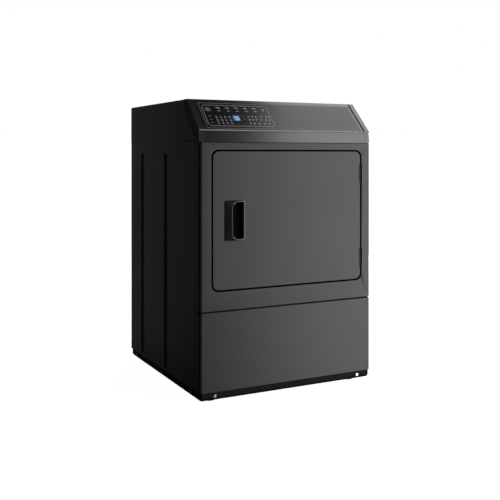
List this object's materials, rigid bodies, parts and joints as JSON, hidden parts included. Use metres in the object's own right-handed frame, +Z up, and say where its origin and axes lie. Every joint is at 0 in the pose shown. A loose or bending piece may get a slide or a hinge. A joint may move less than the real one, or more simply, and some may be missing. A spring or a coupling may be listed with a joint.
{
  "type": "clothes dryer",
  "caption": "Black front-load vented clothes dryer with a slanted front control console, side-hinged flush door with a pull, tumbling drum, belt drive, blower and rear exhaust.",
  "frame": {"origin": "centre of the bounding box on the floor, between the feet", "axes": "+Z up, the door faces -Y, +X is to the right of someone facing the door"},
  "size_m": [0.683, 0.76, 1.023],
  "materials": {
    "base_pan": "satin",
    "left_side_panel": "satin",
    "right_side_panel": "satin",
    "rear_panel": "galvanised",
    "cabinet_top": "satin",
    "front_panel": "satin",
    "lower_access_panel": "satin",
    "leveling_legs": "matte",
    "cabinet_screws": "plated",
    "control_hood": "satin",
    "hood_end_caps": "satin",
    "control_panel": "satin",
    "display_window": "tinted",
    "control_board": "lacquered",
    "start_key": "satin",
    "power_key": "satin",
    "cycle_key_1": "satin",
    "cycle_key_2": "satin",
    "cycle_key_3": "satin",
    "cycle_key_4": "satin",
    "cycle_key_5": "satin",
    "option_key_1": "satin",
    "option_key_2": "satin",
    "option_key_3": "satin",
    "time_up_key": "satin",
    "time_down_key": "satin",
    "door_outer_panel": "satin",
    "door_inner_panel": "gloss",
    "door_handle": "satin",
    "door_seal": "matte",
    "door_hinge_leaves": "plated",
    "frame_hinge_leaves": "plated",
    "hinge_pins": "plated",
    "door_strike": "plated",
    "door_catch": "moulded",
    "door_switch": "moulded",
    "switch_plunger": "moulded",
    "drum": "powder coat",
    "drum_baffles": "moulded",
    "front_bulkhead": "powder coat",
    "rear_bulkhead": "powder coat",
    "drum_felt_seals": "felt",
    "drum_glides": "slick",
    "drum_belt": "matte",
    "left_roller": "matte",
    "right_roller": "matte",
    "roller_shafts": "turned",
    "drive_motor": "cast",
    "motor_shaft": "turned",
    "blower_wheel": "moulded",
    "blower_housing": "moulded",
    "idler_lever": "pressed",
    "idler_wheel": "moulded",
    "idler_spring": "drawn",
    "exhaust_elbow": "galvanised",
    "exhaust_duct": "galvanised",
    "filter_duct": "moulded",
    "lint_filter": "moulded",
    "heater_box": "galvanised",
    "heating_element": "oxidised",
    "terminal_block": "moulded"
  },
  "bodies": {
    "cabinet": {"base_pan": "base_pan", "left_side_panel": "left_side_panel", "right_side_panel": "right_side_panel", "rear_panel": "rear_panel", "cabinet_top": "cabinet_top", "front_panel": "front_panel", "lower_access_panel": "lower_access_panel", "leveling_legs": "leveling_legs", "cabinet_screws": "cabinet_screws", "control_hood": "control_hood", "hood_end_caps": "hood_end_caps", "control_panel": "control_panel", "display_window": "display_window", "control_board": "control_board", "frame_hinge_leaves": "frame_hinge_leaves", "hinge_pins": "hinge_pins", "door_catch": "door_catch", "door_switch": "door_switch", "front_bulkhead": "front_bulkhead", "rear_bulkhead": "rear_bulkhead", "drum_felt_seals": "drum_felt_seals", "drum_glides": "drum_glides", "drum_belt": "drum_belt", "roller_shafts": "roller_shafts", "drive_motor": "drive_motor", "blower_housing": "blower_housing", "idler_spring": "idler_spring", "exhaust_elbow": "exhaust_elbow", "exhaust_duct": "exhaust_duct", "filter_duct": "filter_duct", "heater_box": "heater_box", "heating_element": "heating_element", "terminal_block": "terminal_block"},
    "door": {"door_outer_panel": "door_outer_panel", "door_inner_panel": "door_inner_panel", "door_handle": "door_handle", "door_seal": "door_seal", "door_hinge_leaves": "door_hinge_leaves", "door_strike": "door_strike"},
    "drum_shell": {"drum": "drum", "drum_baffles": "drum_baffles"},
    "roller_l": {"left_roller": "left_roller"},
    "roller_r": {"right_roller": "right_roller"},
    "rotor": {"motor_shaft": "motor_shaft", "blower_wheel": "blower_wheel"},
    "tension_arm": {"idler_lever": "idler_lever"},
    "tension_wheel": {"idler_wheel": "idler_wheel"},
    "filter": {"lint_filter": "lint_filter"},
    "plunger": {"switch_plunger": "switch_plunger"},
    "start_key_body": {"start_key": "start_key"},
    "power_key_body": {"power_key": "power_key"},
    "cycle_key_1_body": {"cycle_key_1": "cycle_key_1"},
    "cycle_key_2_body": {"cycle_key_2": "cycle_key_2"},
    "cycle_key_3_body": {"cycle_key_3": "cycle_key_3"},
    "cycle_key_4_body": {"cycle_key_4": "cycle_key_4"},
    "cycle_key_5_body": {"cycle_key_5": "cycle_key_5"},
    "option_key_1_body": {"option_key_1": "option_key_1"},
    "option_key_2_body": {"option_key_2": "option_key_2"},
    "option_key_3_body": {"option_key_3": "option_key_3"},
    "time_up_key_body": {"time_up_key": "time_up_key"},
    "time_down_key_body": {"time_down_key": "time_down_key"}
  },
  "joints": [
    {"name": "door_swing", "type": "hinge", "parent": "cabinet", "child": "door", "pos_m": [0.3055, -0.3655, 0.6105], "axis": [0, 0, 1], "range_deg": [0, 180]},
    {"name": "drum_spin", "type": "hinge", "parent": "cabinet", "child": "drum_shell", "pos_m": [0, 0, 0.62], "axis": [0, 1, 0], "continuous": true},
    {"name": "left_roller_spin", "type": "hinge", "parent": "cabinet", "child": "roller_l", "pos_m": [-0.20666, 0.254, 0.32486], "axis": [0, 1, 0], "continuous": true},
    {"name": "right_roller_spin", "type": "hinge", "parent": "cabinet", "child": "roller_r", "pos_m": [0.20666, 0.254, 0.32486], "axis": [0, 1, 0], "continuous": true},
    {"name": "rotor_spin", "type": "hinge", "parent": "cabinet", "child": "rotor", "pos_m": [0.09, -0.049, 0.15], "axis": [0, 1, 0], "continuous": true},
    {"name": "tension_arm_swing", "type": "hinge", "parent": "cabinet", "child": "tension_arm", "pos_m": [0.02, 0.074, 0.07], "axis": [0, -1, 0], "range_deg": [0, 12], "stiffness_Nm_per_rad": 2, "springref_deg": -34.38, "deforming": ["idler_spring"]},
    {"name": "tension_wheel_spin", "type": "hinge", "parent": "tension_arm", "child": "tension_wheel", "pos_m": [0.031, 0.066, 0.164], "axis": [0, 1, 0], "continuous": true},
    {"name": "filter_lift", "type": "slide", "parent": "cabinet", "child": "filter", "axis": [0, 0, 1], "range_m": [0, 0.175]},
    {"name": "plunger_slide", "type": "slide", "parent": "cabinet", "child": "plunger", "axis": [0, -1, 0], "range_m": [0, 0.006]},
    {"name": "start_key_press", "type": "slide", "parent": "cabinet", "child": "start_key_body", "axis": [0, 0.7071, -0.7071], "range_m": [0, 0.0008], "stiffness_N_per_m": 600, "springref_m": -0.001},
    {"name": "power_key_press", "type": "slide", "parent": "cabinet", "child": "power_key_body", "axis": [0, 0.7071, -0.7071], "range_m": [0, 0.0008], "stiffness_N_per_m": 600, "springref_m": -0.001},
    {"name": "cycle_key_1_press", "type": "slide", "parent": "cabinet", "child": "cycle_key_1_body", "axis": [0, 0.7071, -0.7071], "range_m": [0, 0.0008], "stiffness_N_per_m": 600, "springref_m": -0.001},
    {"name": "cycle_key_2_press", "type": "slide", "parent": "cabinet", "child": "cycle_key_2_body", "axis": [0, 0.7071, -0.7071], "range_m": [0, 0.0008], "stiffness_N_per_m": 600, "springref_m": -0.001},
    {"name": "cycle_key_3_press", "type": "slide", "parent": "cabinet", "child": "cycle_key_3_body", "axis": [0, 0.7071, -0.7071], "range_m": [0, 0.0008], "stiffness_N_per_m": 600, "springref_m": -0.001},
    {"name": "cycle_key_4_press", "type": "slide", "parent": "cabinet", "child": "cycle_key_4_body", "axis": [0, 0.7071, -0.7071], "range_m": [0, 0.0008], "stiffness_N_per_m": 600, "springref_m": -0.001},
    {"name": "cycle_key_5_press", "type": "slide", "parent": "cabinet", "child": "cycle_key_5_body", "axis": [0, 0.7071, -0.7071], "range_m": [0, 0.0008], "stiffness_N_per_m": 600, "springref_m": -0.001},
    {"name": "option_key_1_press", "type": "slide", "parent": "cabinet", "child": "option_key_1_body", "axis": [0, 0.7071, -0.7071], "range_m": [0, 0.0008], "stiffness_N_per_m": 600, "springref_m": -0.001},
    {"name": "option_key_2_press", "type": "slide", "parent": "cabinet", "child": "option_key_2_body", "axis": [0, 0.7071, -0.7071], "range_m": [0, 0.0008], "stiffness_N_per_m": 600, "springref_m": -0.001},
    {"name": "option_key_3_press", "type": "slide", "parent": "cabinet", "child": "option_key_3_body", "axis": [0, 0.7071, -0.7071], "range_m": [0, 0.0008], "stiffness_N_per_m": 600, "springref_m": -0.001},
    {"name": "time_up_key_press", "type": "slide", "parent": "cabinet", "child": "time_up_key_body", "axis": [0, 0.7071, -0.7071], "range_m": [0, 0.0008], "stiffness_N_per_m": 600, "springref_m": -0.001},
    {"name": "time_down_key_press", "type": "slide", "parent": "cabinet", "child": "time_down_key_body", "axis": [0, 0.7071, -0.7071], "range_m": [0, 0.0008], "stiffness_N_per_m": 600, "springref_m": -0.001}
  ],
  "couplings": [
    {"joint": "left_roller_spin", "follows": "drum_spin", "ratio": -9.2857},
    {"joint": "right_roller_spin", "follows": "drum_spin", "ratio": -9.2857},
    {"joint": "rotor_spin", "follows": "drum_spin", "ratio": 32.5},
    {"joint": "tension_wheel_spin", "follows": "drum_spin", "ratio": -13},
    {"joint": "plunger_slide", "follows": "door_swing", "m_per_rad": 0.0019}
  ]
}
